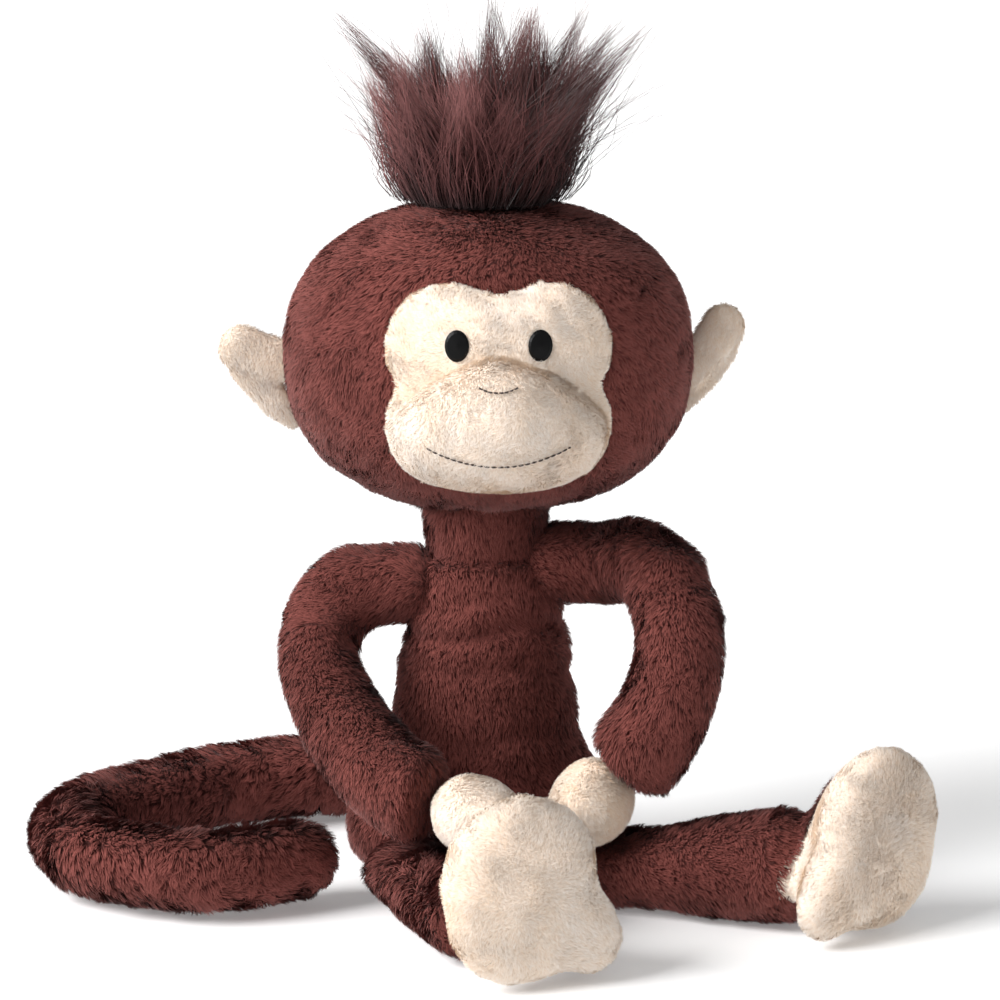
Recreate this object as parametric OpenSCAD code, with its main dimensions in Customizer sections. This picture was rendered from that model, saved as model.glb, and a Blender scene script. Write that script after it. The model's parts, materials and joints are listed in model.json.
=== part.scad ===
// Seated plush monkey with a round head, a tuft of long hair, thin stuffed limbs and a long tail.
// Millimetres, +Z up. The toy faces -Y. The origin is the middle of the flat underside of the seat.
// Right and left are the toy's own: its right arm and leg are on the -X side.
// Every limb is a soft tube along a curve. Each tube starts in a round end whose middle is its joint,
// so it can turn there, and finishes in a flat end that the next piece's round end meets.

/* [Torso] */
// Width of the seat, side to side
seat_w = 120; // [98:1:145]
// Depth of the seat, front to back
seat_d = 80; // [66:1:97]
// Width of the belly
belly_w = 79; // [65:1:95]
// Depth of the belly
belly_d = 62; // [50:1:75]
// Height from the underside of the seat to the neck seam
torso_h = 134; // [111:1:161]
// Width of the neck
neck_w = 55; // [45:1:60]

/* [Head] */
// Width of the head
head_w = 168; // [140:1:202]
// Depth of the head
head_d = 134; // [112:1:160]
// Height of the head
head_h = 129; // [107:1:155]
// How far the muzzle stands out from the face
muzzle_depth = 24; // [16:1:30]
// Width of the muzzle
muzzle_w = 89; // [74:1:100]
// Height of the muzzle
muzzle_h = 57; // [47:1:62]
// How far an ear reaches out from the head
ear_reach = 30; // [25:1:36]
// Height of an ear
ear_h = 49; // [40:1:60]
// Width of the root of the hair
hair_root_w = 54; // [44:1:65]
// Height of the hair above the head
hair_h = 74; // [60:1:90]

/* [Arms] */
// Thickness of an arm
arm_dia = 37; // [30:1:40]
// Thickness of a sleeve at its cuff
cuff_dia = 43; // [36:1:48]
// Length of a sleeve, from the shoulder joint to the cuff
sleeve_l = 132; // [122:1:166]
// Length of a hand beyond the cuff
hand_l = 40; // [34:1:48]
// Thickness of a hand
hand_dia = 34; // [29:1:36]

/* [Legs] */
// Width of a leg at the hip
leg_dia = 38; // [32:1:44]
// Width of a leg at the ankle
ankle_dia = 49; // [41:1:56]
// Height of a leg at the hip, where it lies flattened under a hand
flat_leg_h = 28; // [23:1:32]
// Length of a leg, from the hip joint to the ankle
leg_l = 88; // [73:1:106]
// Height of a foot
foot_h = 77; // [64:1:92]
// Width of a foot without its thumb toe
foot_w = 67; // [56:1:80]
// How far the sole swells out
sole_swell = 13; // [10:1:16]

/* [Tail] */
// Thickness of the tail at its root
tail_dia = 39; // [32:1:46]
// Thickness of the tail at its tip
tail_tip_dia = 35; // [29:1:42]
// Length of the tail along its middle line
tail_l = 354; // [300:1:425]

/* [Cloth] */
// Thickness of the brown cloth with its pile
pile = 5; // [4:0.5:6]
// Thickness of the cream cloth with its short pile
short_pile = 3; // [2:0.5:4]
// Thickness of the stitching thread
thread = 1.2; // [0.8:0.1:1.6]
// Gap between pieces that turn against each other
joint_gap = 0.8; // [0.5:0.1:1.5]
// Gap between a cover and what it holds
fit_gap = 0.3; // [0.2:0.1:0.6]

/* [Hidden] */
brown = "#6b3c38";
dark_brown = "#4a2a28";
cream = "#e8dccf";
white_fill = "#f4f4f0";
pellet_grey = "#b9b9b4";
black = "#151313";
seam_grey = "#4d4644";
sides = 16; // round a limb
inner_sides = 10; // round what is inside a limb
head_sides = 32;
ground_gap = 0.3;
up = [0, 0, 1];
flat_edge = 6; // rounding of a tube's flat end
route_steps = 40;

// The torso's half widths and half depths by height, as shares of the seat and the belly
torso_half_w = [
    [0, seat_w * 0.42], [0.05, seat_w * 0.475], [0.14, seat_w * 0.5], [0.25, seat_w * 0.46],
    [0.38, belly_w * 0.54], [0.55, belly_w * 0.49], [0.74, belly_w * 0.455], [0.88, belly_w * 0.42],
    [1, neck_w * 0.5]
];
torso_half_d = [
    [0, seat_d * 0.43], [0.05, seat_d * 0.48], [0.14, seat_d * 0.5], [0.25, seat_d * 0.47],
    [0.38, belly_d * 0.54], [0.55, belly_d * 0.5], [0.74, belly_d * 0.47], [0.88, belly_d * 0.45],
    [1, neck_w * 0.48]
];
hip_level = 0.14; // share of the torso's height at which the seat is widest

// Head
neck_ball_r = neck_w / 2;
neck_pivot_z = torso_h + 16;
head_x = 1.5;
head_y = -4;
head_lift = -1; // from the neck's joint up to the head's underside
head_z = neck_pivot_z + head_lift + head_h / 2;
head_fullness = 2.3; // 2 is an egg, and more is squarer from the front
face_x = head_x + 4; // the face is turned a little to the toy's left
panel_z = head_z - head_h * 0.024;
panel_base = 0.9;
muzzle_z = head_z - head_h * 0.143;
muzzle_base = panel_base + short_pile + 1.1;
brow_share = muzzle_w / 89;

// Arms
arm_r = arm_dia / 2;
hand_r = hand_dia / 2;
fill_gap = 1.5; // between a limb's cover and its filling
ring_step = 12;
hand_spread = 3; // wider and flatter towards the fingers

// Legs
leg_r = leg_dia / 2;
ankle_r = ankle_dia / 2;
foot_back = max(ankle_r + 3, foot_w * 0.41); // from the ankle joint back to the leg, clear of a turned foot
foot_z = max(foot_h / 2, foot_w - foot_h / 2) + ground_gap; // the sole's lowest edge is on the ground
tail_r = tail_dia / 2;

// ---------- curves ----------

function unit(v) = v / norm(v);

function between(pair, t) = pair[0] + (pair[1] - pair[0]) * t;

function bezier(p, t) =
    pow(1 - t, 3) * p[0] + 3 * t * pow(1 - t, 2) * p[1] + 3 * t * t * (1 - t) * p[2] + pow(t, 3) * p[3];

function bezier_route(p) = [for (i = [0 : route_steps]) bezier(p, i / route_steps)];

// A smooth curve through hand-placed points
function knot(p, i) = p[max(0, min(len(p) - 1, i))];

function spline_at(p, u) =
    let (i = min(len(p) - 2, floor(u)), t = u - i)
    let (a = knot(p, i - 1), b = knot(p, i), c = knot(p, i + 1), d = knot(p, i + 2))
    0.5 * (2 * b + t * (c - a) + t * t * (2 * a - 5 * b + 4 * c - d)
        + t * t * t * (3 * b - a - 3 * c + d));

function spline_route(p) = [for (i = [0 : route_steps]) spline_at(p, i / route_steps * (len(p) - 1))];

// Distance along a route to each of its points
function run(p) = [
    for (i = 0, d = 0; i < len(p); i = i + 1, d = i < len(p) ? d + norm(p[i] - p[i - 1]) : d) d
];

function route_length(p) = run(p)[len(p) - 1];

// The point at a distance along a route, which runs straight on past both ends
function at(p, s) =
    let (d = run(p), last = len(p) - 1)
    s < 0 ? p[0] + unit(p[1] - p[0]) * s
    : s > d[last] ? p[last] + unit(p[last] - p[last - 1]) * (s - d[last])
    : [for (k = [0 : 2]) lookup(s, [for (i = [0 : last]) [d[i], p[i][k]]])];

function heading(p, s) = unit(at(p, s + 2) - at(p, s - 2));

// ---------- solids from rings ----------

// A closed solid from rings of points that have the same count, capped at both ends. Each ring's
// points turn anticlockwise about the way from the first ring to the last.
module loft(rings) {
    n = len(rings[0]);
    m = len(rings);
    points = [for (r = rings) each r];
    walls = [
        for (i = [0 : m - 2], k = [0 : n - 1])
            let (a = i * n + k, b = i * n + (k + 1) % n, c = a + n, d = b + n)
            each [[a, d, b], [a, c, d]]
    ];
    first = [for (k = [0 : n - 1]) k];
    last = [for (k = [0 : n - 1]) m * n - 1 - k];
    polyhedron(points = points, faces = concat([first], walls, [last]), convexity = 4);
}

// A ring across a heading: half width to the side, half height along the other way
function ring(c, h, upright, half_w, half_h, n) =
    let (side = unit(cross(upright, h)), over = cross(h, side))
    [for (k = [0 : n - 1])
        c + half_w * cos(360 * k / n) * side + half_h * sin(360 * k / n) * over];

// Where the rings of an end lie, as angles round its quarter of an arc
function end_angles(is_round) = is_round ? [14, 38, 64, 90] : [0, 45, 90];

// How much of the full section a ring keeps. A round end closes to a point, and a flat end only loses
// its edge.
function end_share(is_round, angle, edge, half) =
    is_round ? sin(angle) : 1 - edge * (1 - sin(angle)) / half;

// Distance s on the straight line through a route's joint
function through(p, pivot, s) = at(p, pivot) + heading(p, pivot) * (s - pivot);

// The rings of an end by distance from its tip: [distance, share of the section, heading, middle].
// An end that reaches past its pivot is round about it, and an end that stops short faces it squarely.
function end_rings(p, tip, inward, pivot, is_round, full_tip, edge, half) = [
    for (g = end_angles(is_round))
        let (length = is_round ? abs(pivot - tip) : edge, s = tip + inward * length * (1 - cos(g)))
        let (c = is_round ? through(p, pivot, s) : at(p, s) + through(p, pivot, full_tip) - at(p, full_tip))
        [s, end_share(is_round, g, edge, half), heading(p, pivot), c]
];

// A soft tube along a route from one distance to another. wide and high are [at start, at end], and
// upright is the way that high goes. pivots are the distances of the joints it meets. inset shrinks
// the whole tube.
module soft_tube(p, from, to, pivots, wide, high, upright, n, inset = 0) {
    a = from + inset;
    b = to - inset;
    w = wide / 2 - [inset, inset];
    h = high / 2 - [inset, inset];
    edge = max(flat_edge - inset, 1.5);
    starts = end_rings(p, a, 1, pivots[0], pivots[0] > from, from, edge, min(w[0], h[0]));
    ends = end_rings(p, b, -1, pivots[1], pivots[1] < to, to, edge, min(w[1], h[1]));
    low = starts[len(starts) - 1][0];
    body = ends[len(ends) - 1][0] - low;
    steps = max(2, round((to - from - wide[0] / 2) / ring_step));
    middles = [
        for (i = [1 : steps - 1])
            let (s = low + body * i / steps)
            [s, 1, heading(p, s), at(p, s)]
    ];
    loft([
        for (q = concat(starts, middles, [for (i = [len(ends) - 1 : -1 : 0]) ends[i]]))
            let (t = (q[0] - a) / (b - a))
            ring(q[3], q[2], upright, between(w, t) * q[1], between(h, t) * q[1], n)
    ]);
}

// ---------- torso and neck ----------

function torso_w_at(z) = lookup(z / torso_h, torso_half_w);

function torso_d_at(z) = lookup(z / torso_h, torso_half_d);

// A point off the torso's side at a height, at an angle round from +X, and a distance out
function off_torso(z, angle, out) =
    let (w = torso_w_at(z), d = torso_d_at(z), span = 6)
    let (slope = max(abs(torso_w_at(z + span) - w), abs(w - torso_w_at(z - span))) / span)
    let (n = unit([cos(angle) / w, sin(angle) / d, 0]))
    [w * cos(angle), d * sin(angle), z] + n * out * norm([1, slope]);

function oval(z, half_w, half_d, n) =
    [for (k = [0 : n - 1]) [half_w * cos(360 * k / n), half_d * sin(360 * k / n), z]];

module torso_form(low, high, inset, n, levels) {
    heights = [for (i = [0 : levels]) low + (high - low) * i / levels];
    loft([for (z = heights) oval(z, torso_w_at(z) - inset, torso_d_at(z) - inset, n)]);
}

module torso_shape() {
    loft([
        for (q = torso_half_w)
            oval(q[0] * torso_h, torso_w_at(q[0] * torso_h), torso_d_at(q[0] * torso_h), 28)
    ]);
}

module torso_cover() {
    color(brown)
        difference() {
            torso_shape();
            torso_form(pile, torso_h - pile, pile, 18, 9);
        }
}

pellet_top = 0.27 * torso_h;

module seat_pellet_bag() {
    color(pellet_grey)
        torso_form(pile + fit_gap, pellet_top, pile + 3, 18, 4);
}

module torso_stuffing() {
    color(white_fill)
        torso_form(pellet_top + fit_gap, torso_h - pile - fit_gap, pile + 1.2, 18, 7);
}

// The hand-sewn seam up the back through which the toy is filled
module back_closing_seam() {
    levels = [for (i = [0 : 8]) torso_h * (0.2 + 0.6 * i / 8)];
    route = [for (z = levels) [0, torso_d_at(z) + thread * 0.7, z]];
    color(dark_brown)
        loft([for (q = route) [for (k = [0 : 7]) q + thread / 2 * [cos(45 * k), sin(45 * k), 0]]]);
}

// The neck turns on the torso's flat top, and its ball nods in the hollow under the head
module neck_profile(inset) {
    top = neck_pivot_z;
    r = neck_ball_r - inset;
    arc = [for (g = [-20 : 10 : 80]) [r * cos(g), top + r * sin(g)]];
    polygon(concat(
        [[0, torso_h + joint_gap + inset], [r - 1.5, torso_h + joint_gap + inset]],
        arc,
        [[0, top + r]]
    ));
}

module neck_cover() {
    color(brown)
        rotate_extrude($fn = 64)
            difference() {
                neck_profile(0);
                neck_profile(pile);
            }
}

module neck_stuffing() {
    color(white_fill)
        rotate_extrude($fn = 48)
            neck_profile(pile + fit_gap);
}

// ---------- head ----------

// A closed egg form of rings stacked along Z
module egg(half_w, half_d, half_h, n, levels) {
    translate([head_x, head_y, head_z])
        loft([
            for (i = [0 : levels])
                let (g = -86 + 172 * i / levels)
                let (out = pow(cos(g), 2 / head_fullness), high = pow(abs(sin(g)), 2 / head_fullness))
                oval(half_h * high * sign(g), half_w * out, half_d * out, n)
        ]);
}

module neck_hollow(grow) {
    translate([0, 0, neck_pivot_z])
        sphere(r = neck_ball_r + joint_gap + grow, $fn = 64);
}

module head_hollowed(inset, n, levels) {
    difference() {
        egg(head_w / 2 - inset, head_d / 2 - inset, head_h / 2 - inset, n, levels);
        neck_hollow(inset);
    }
}

module head_cover() {
    color(brown)
        difference() {
            head_hollowed(0, head_sides, 18);
            head_hollowed(pile, 20, 12);
        }
}

module head_stuffing() {
    color(white_fill)
        head_hollowed(pile + fit_gap + 1.5, 20, 12);
}

// How far forward and how far up the head's surface is, grown outwards by a little
function head_front(x, z, grow) =
    let (p = head_fullness, u = (x - head_x) / (head_w / 2 + grow))
    let (v = min(0.99, abs(z - head_z) / (head_h / 2 + grow)))
    head_y - (head_d / 2 + grow) * sqrt(max(0.02, pow(1 - pow(v, p), 2 / p) - u * u));

function head_top(x, y, grow) =
    let (p = head_fullness, u = (x - head_x) / (head_w / 2 + grow), v = (y - head_y) / (head_d / 2 + grow))
    head_z + (head_h / 2 + grow) * pow(max(0.02, 1 - pow(norm([u, v]), p)), 1 / p);

// Distance from the origin out of a circle, along a direction
function out_of_circle(angle, c, r) =
    let (along = c[0] * cos(angle) + c[1] * sin(angle), room = along * along - c * c + r * r)
    room < 0 ? 0 : along + sqrt(room);

// The cream face: two brow lobes above and two cheeks behind the muzzle
function panel_reach(angle) = brow_share * max([
    for (c = [[-19, 15, 24.5], [19, 15, 24.5], [0, 8, 27.5], [-18, -15, 25.5], [18, -15, 25.5]])
        out_of_circle(angle, [c[0], c[1]], c[2])
]);

function muzzle_reach(angle) =
    let (above = sin(angle) > 0, p = above ? 1.45 : 2.5, a = muzzle_w / 2)
    let (b = muzzle_h / 2 * (above ? 1.05 : 0.95))
    1 / pow(pow(abs(cos(angle)) / a, p) + pow(abs(sin(angle)) / b, p), 1 / p);

function muzzle_swell(t) = muzzle_depth * sqrt(1 - pow(min(t, 1), 2.6));

function muzzle_share(x, z) =
    let (q = [x - face_x, z - muzzle_z])
    norm(q) / muzzle_reach(atan2(q[1], q[0]));

// How far forward the muzzle's surface is
function muzzle_front(x, z) =
    head_front(x, z, muzzle_base + short_pile) - muzzle_swell(muzzle_share(x, z));

module face_panel() {
    n = 32;
    function layer(t, grow) = [
        for (k = [0 : n - 1])
            let (g = 360 * k / n, r = panel_reach(g) * t, x = face_x + r * cos(g), z = panel_z + r * sin(g))
            [x, head_front(x, z, grow), z]
    ];
    color(cream)
        loft(concat(
            [for (t = [0.04, 0.35, 0.7, 1]) layer(t, panel_base)],
            [for (t = [1, 0.7, 0.35, 0.04]) layer(t, panel_base + short_pile)]
        ));
}

// One skin of the muzzle, from the middle out: pushed forward by its swell, less an inset
function muzzle_layer(t, n, base, swell, inset) = [
    for (k = [0 : n - 1])
        let (g = 360 * k / n, r = (muzzle_reach(g) - inset) * t)
        let (x = face_x + r * cos(g), z = muzzle_z + r * sin(g))
        [x, head_front(x, z, base) - swell, z]
];

module muzzle_form(n, base, depth, inset) {
    shares = [1, 0.97, 0.9, 0.78, 0.6, 0.35, 0.05];
    loft(concat(
        [for (t = [0.05, 0.5, 1]) muzzle_layer(t, n, base, 0, inset)],
        [for (t = shares) muzzle_layer(t, n, base, 0.5 + depth * sqrt(1 - pow(t, 2.6)), inset)]
    ));
}

module muzzle_cover() {
    color(cream)
        difference() {
            muzzle_form(28, muzzle_base, muzzle_depth + short_pile - 0.5, 0);
            muzzle_form(18, muzzle_base + short_pile, muzzle_depth - short_pile - 0.5, short_pile + 1);
        }
}

module muzzle_stuffing() {
    inset = short_pile + 1 + fit_gap;
    color(white_fill)
        muzzle_form(18, muzzle_base + short_pile + fit_gap, muzzle_depth - short_pile - 2, inset + 0.7);
}

module eye(side) {
    n = 20;
    x0 = face_x + side * 16 * brow_share;
    z0 = head_z + head_h * 0.107;
    base = panel_base + short_pile + 0.1;
    function layer(t, grow) = [
        for (k = [0 : n - 1])
            let (g = 360 * k / n, x = x0 + 4.7 * t * cos(g), z = z0 + 6.1 * t * sin(g))
            [x, head_front(x, z, grow), z]
    ];
    color(black)
        loft(concat(
            [for (t = [0.1, 1]) layer(t, base)],
            [for (q = [[1, 0.3], [0.8, 0.9], [0.1, 1.2]]) layer(q[0], base + q[1])]
        ));
}

module right_eye_embroidery() {
    eye(-1);
}

module left_eye_embroidery() {
    eye(1);
}

// A stitched smile on the muzzle: half width, height of its lowest point and of its ends
module smile(half_w, z_mid, z_end, r) {
    steps = 14;
    middle = [
        for (i = [0 : steps])
            let (u = -1 + 2 * i / steps, x = face_x + half_w * u, z = z_mid + (z_end - z_mid) * u * u)
            [x, muzzle_front(x, z) - r - 0.15, z]
    ];
    color(seam_grey)
        loft([for (q = middle) [for (k = [0 : 7]) q + r * [0, cos(45 * k), sin(45 * k)]]]);
}

module nose_stitch() {
    smile(8, head_z + head_h * 0.004, head_z + head_h * 0.018, thread * 0.42);
}

module mouth_stitch() {
    smile(28.5 * brow_share, head_z - head_h * 0.232, head_z - head_h * 0.176, thread / 2);
}

// ---------- hair ----------

hair_x = head_x - 3;
hair_y = head_y;
hair_root_d = hair_root_w * 0.74;
backing = 1.5;

function hair_layer(t, grow, n) = [
    for (k = [0 : n - 1])
        let (x = hair_x + hair_root_w / 2 * t * cos(360 * k / n))
        let (y = hair_y + hair_root_d / 2 * t * sin(360 * k / n))
        [x, y, head_top(x, y, grow)]
];

module hair_backing() {
    color(dark_brown)
        loft(concat(
            [for (t = [0.06, 0.5, 1]) hair_layer(t, panel_base, 24)],
            [for (t = [1, 0.5, 0.06]) hair_layer(t, panel_base + backing, 24)]
        ));
}

// The outer form of the tuft: it stands on its root and fans out sideways
module hair_tuft() {
    n = 24;
    base = head_z + head_h / 2 + backing + panel_base;
    fan = [
        [0.08, 1.04, 1.04], [0.3, 1.3, 1.2], [0.55, 1.75, 1.45], [0.78, 2.15, 1.7], [0.93, 2.2, 1.75],
        [1, 1.9, 1.4], [1.03, 1, 0.7]
    ];
    color(dark_brown)
        loft(concat(
            [for (t = [0.06, 0.5, 0.98]) hair_layer(t, panel_base + backing + fit_gap, n)],
            [
                for (q = fan)
                    [for (p = oval(base + hair_h * q[0], hair_root_w / 2 * q[1], hair_root_d / 2 * q[2], n))
                        p + [hair_x, hair_y, 0]]
            ]
        ));
}

// ---------- ears ----------

// Each ear is two cream panels back to back, cupped forward. It stands behind the widest part of the
// head, swept back by an angle about its root.
ear_back = 22;
ear_gap = 2.4; // from the head to the ear's root, so that it can fold
right_ear_lift = -15;
left_ear_lift = -7;
right_ear_sweep = 4;
left_ear_sweep = 34;
ear_cup = 5;

function ear_root(side, lift) =
    let (z = head_z + lift, v = abs(lift) / (head_h / 2), p = head_fullness)
    let (w = head_w / 2 * sqrt(pow(1 - pow(v, p), 2 / p) - pow(ear_back / (head_d / 2), 2)))
    [head_x + side * (w + ear_gap), head_y + ear_back, z];

module ear(side, front, lift, sweep) {
    n = 24;
    near = front ? -fit_gap / 2 : fit_gap / 2;
    far = near + (front ? -short_pile : short_pile);
    turn = front ? 1 : -1;
    // the panel is wider above its middle than below it
    function layer(t, off) = [
        for (k = [0 : n - 1])
            let (g = 360 * k / n * turn, lobe = 0.18 * sin(g) * (1 + side * cos(g)) / 2)
            let (half_w = ear_reach / 2 * (1 + lobe))
            [side * ear_reach / 2 + half_w * t * cos(g), off + ear_cup * (1 - t * t), ear_h / 2 * t * sin(g)]
    ];
    color(cream)
        translate(ear_root(side, lift))
            rotate([0, 0, side * sweep])
                loft(concat(
                    [for (t = [0.05, 0.5, 0.85, 1]) layer(t, near)],
                    [for (q = [[0.97, 0.6], [0.85, 1], [0.5, 1], [0.05, 1]])
                        layer(q[0], near + (far - near) * q[1])]
                ));
}

module right_ear_front() {
    ear(-1, true, right_ear_lift, right_ear_sweep);
}

module right_ear_back() {
    ear(-1, false, right_ear_lift, right_ear_sweep);
}

module left_ear_front() {
    ear(1, true, left_ear_lift, left_ear_sweep);
}

module left_ear_back() {
    ear(1, false, left_ear_lift, left_ear_sweep);
}

// ---------- arms ----------

// Each shoulder joint is an arm's half thickness off the torso. The cuffs rest over the legs, and the
// sleeve between them bows out as far as its length asks.
flat_leg_top = ground_gap + flat_leg_h;
right_shoulder = off_torso(torso_h * 0.89, 186, arm_r + joint_gap);
left_shoulder = off_torso(torso_h * 0.96, 352, arm_r + joint_gap);
arm_slack = 0.88; // a cuff is never farther from its shoulder than this share of the sleeve
right_cuff_z = flat_leg_top + hand_r + 8;
right_cuff_x = -20;

// How far forward a cuff may be, up to a wish, so that its sleeve still bends
function forward(wish, across, drop) =
    min(wish, sqrt(max(0, pow(arm_slack * sleeve_l, 2) - across * across - drop * drop)));

right_reach = forward(88, right_cuff_x - right_shoulder[0], right_shoulder[2] - right_cuff_z);
right_cuff = [right_cuff_x, right_shoulder[1] - right_reach, right_cuff_z];
left_cuff = [left_shoulder[0] + 5, left_shoulder[1] - 63, flat_leg_top + hand_r + 15];
right_bows = [[-38, 0, -20], [-46, 24, 8]];
left_bows = [[15, -24, 12], [22, -9, 25]];

function arm_curve(shoulder, cuff, bows, k) =
    bezier_route([shoulder, shoulder + bows[0] * k, cuff + bows[1] * k, cuff]);

// The bow that gives a sleeve its length, by halving the range again and again
function bow_for(shoulder, cuff, bows, low, high, tries) =
    let (k = (low + high) / 2)
    tries == 0 ? k
    : route_length(arm_curve(shoulder, cuff, bows, k)) < sleeve_l
        ? bow_for(shoulder, cuff, bows, k, high, tries - 1)
        : bow_for(shoulder, cuff, bows, low, k, tries - 1);

function arm_route(shoulder, cuff, bows) =
    arm_curve(shoulder, cuff, bows, bow_for(shoulder, cuff, bows, 0.2, 3, 14));

right_arm_route = arm_route(right_shoulder, right_cuff, right_bows);
left_arm_route = arm_route(left_shoulder, left_cuff, left_bows);
elbow_at = sleeve_l * 0.5;
right_hand_way = unit([0.76, -0.55, -0.2]);
left_hand_way = unit([-0.35, -0.7, -0.45]);

// Across an arm's bend, so that its rings never twist
function arm_upright(p) = unit(cross(p[route_steps / 2] - p[0], p[route_steps] - p[0]));

module upper_arm(p, inset, n) {
    soft_tube(p, -arm_r, elbow_at - arm_r - joint_gap, [0, elbow_at], [arm_dia, arm_dia],
        [arm_dia, arm_dia], arm_upright(p), n, inset);
}

module lower_arm(p, inset, n) {
    soft_tube(p, elbow_at - arm_r, sleeve_l, [elbow_at, sleeve_l], [arm_dia, cuff_dia],
        [arm_dia, cuff_dia], arm_upright(p), n, inset);
}

module upper_sleeve(p) {
    color(brown)
        difference() {
            upper_arm(p, 0, sides);
            upper_arm(p, pile, inner_sides);
        }
}

module lower_sleeve(p) {
    color(brown)
        difference() {
            lower_arm(p, 0, sides);
            lower_arm(p, pile, inner_sides);
        }
}

// A mitten hand: it starts in a round end in the cuff's mouth and points its own way
function wrist(p) = p[route_steps] + (hand_r + joint_gap) * heading(p, sleeve_l);

module hand_form(p, way, inset, n) {
    w = wrist(p);
    route = [w - way * hand_r, w, w + way * (hand_l - hand_r)];
    soft_tube(route, 0, hand_l, [hand_r, hand_l - hand_r], [hand_dia, hand_dia + hand_spread],
        [hand_dia, hand_dia - hand_spread], up, n, inset);
}

module hand_cover(p, way) {
    color(cream)
        difference() {
            hand_form(p, way, 0, sides);
            hand_form(p, way, short_pile, inner_sides);
        }
}

module right_upper_sleeve() {
    upper_sleeve(right_arm_route);
}

module right_upper_arm_stuffing() {
    color(white_fill)
        upper_arm(right_arm_route, pile + fill_gap, inner_sides);
}

module right_lower_sleeve() {
    lower_sleeve(right_arm_route);
}

module right_lower_arm_stuffing() {
    color(white_fill)
        lower_arm(right_arm_route, pile + fill_gap, inner_sides);
}

module right_hand_cover() {
    hand_cover(right_arm_route, right_hand_way);
}

module right_hand_stuffing() {
    color(white_fill)
        hand_form(right_arm_route, right_hand_way, short_pile + fill_gap, inner_sides);
}

module left_upper_sleeve() {
    upper_sleeve(left_arm_route);
}

module left_upper_arm_stuffing() {
    color(white_fill)
        upper_arm(left_arm_route, pile + fill_gap, inner_sides);
}

module left_lower_sleeve() {
    lower_sleeve(left_arm_route);
}

module left_lower_arm_stuffing() {
    color(white_fill)
        lower_arm(left_arm_route, pile + fill_gap, inner_sides);
}

module left_hand_cover() {
    hand_cover(left_arm_route, left_hand_way);
}

module left_hand_stuffing() {
    color(white_fill)
        hand_form(left_arm_route, left_hand_way, short_pile + fill_gap, inner_sides);
}

// ---------- legs and feet ----------

// The right leg points forward, flattened under the right hand. The left leg splays to the side.
hip_drop = [0, 0, ground_gap + flat_leg_h / 2 - hip_level * torso_h];
right_hip = off_torso(hip_level * torso_h, 246, leg_r + joint_gap) + hip_drop;
left_hip = off_torso(hip_level * torso_h, 304, leg_r + joint_gap) + hip_drop;
right_leg_way = unit([0.4, -1, 0]);
left_leg_way = unit([0.93, -0.37, 0]);
right_foot_way = right_leg_way;
left_foot_way = unit([0.66, -0.75, 0]); // turned forward at the ankle
right_leg_heights = [flat_leg_h, ankle_dia * 0.64];
left_leg_heights = [flat_leg_h, ankle_dia];
leg_widths = [leg_dia, ankle_dia];
knee_at = leg_l * 0.5;

// A leg's middle line keeps its underside on the ground as the leg gets thicker
function leg_route(hip, way, heights) = [
    for (i = [0 : route_steps])
        let (t = i / route_steps)
        hip + way * leg_l * t + up * (heights[1] - heights[0]) / 2 * t
];

right_leg_route = leg_route(right_hip, right_leg_way, right_leg_heights);
left_leg_route = leg_route(left_hip, left_leg_way, left_leg_heights);

module leg_part(p, heights, from, to, pivots, inset, n) {
    high = [for (s = [from, to]) between(heights, s / leg_l)];
    wide = [for (s = [from, to]) between(leg_widths, s / leg_l)];
    soft_tube(p, from, to, pivots, wide, high, up, n, inset);
}

module thigh(p, heights, inset, n) {
    leg_part(p, heights, -leg_r, knee_at - leg_r - joint_gap, [0, knee_at], inset, n);
}

module shin(p, heights, inset, n) {
    leg_part(p, heights, knee_at - leg_r, leg_l, [knee_at, leg_l], inset, n);
}

module leg_cover_of(shin_part, p, heights) {
    color(brown)
        difference() {
            if (shin_part) shin(p, heights, 0, sides);
            else thigh(p, heights, 0, sides);
            if (shin_part) shin(p, heights, pile, inner_sides);
            else thigh(p, heights, pile, inner_sides);
        }
}

module right_thigh_cover() {
    leg_cover_of(false, right_leg_route, right_leg_heights);
}

module right_thigh_stuffing() {
    color(white_fill)
        thigh(right_leg_route, right_leg_heights, pile + fill_gap, inner_sides);
}

module right_shin_cover() {
    leg_cover_of(true, right_leg_route, right_leg_heights);
}

module right_shin_stuffing() {
    color(white_fill)
        shin(right_leg_route, right_leg_heights, pile + fill_gap, inner_sides);
}

module left_thigh_cover() {
    leg_cover_of(false, left_leg_route, left_leg_heights);
}

module left_thigh_stuffing() {
    color(white_fill)
        thigh(left_leg_route, left_leg_heights, pile + fill_gap, inner_sides);
}

module left_shin_cover() {
    leg_cover_of(true, left_leg_route, left_leg_heights);
}

module left_shin_stuffing() {
    color(white_fill)
        shin(left_leg_route, left_leg_heights, pile + fill_gap, inner_sides);
}

// The outline of a sole about its middle, with a thumb toe low on the inner side
function sole_reach(angle, toe_side) = max([
    for (c = [
        [0, foot_h / 2 - foot_w / 2, foot_w / 2],
        [0, -foot_h / 2 + foot_w * 0.47, foot_w * 0.47],
        [toe_side * foot_w * 0.4, -foot_h / 2 + foot_w * 0.26, foot_w * 0.26]
    ])
        out_of_circle(angle, [c[0], c[1]], c[2])
]);

// The ankle joint is in the middle of the seam between the foot's upper and its sole
function ankle(p) =
    let (q = p[route_steps] + heading(p, leg_l) * (foot_back + joint_gap))
    [q[0], q[1], foot_z];

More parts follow.
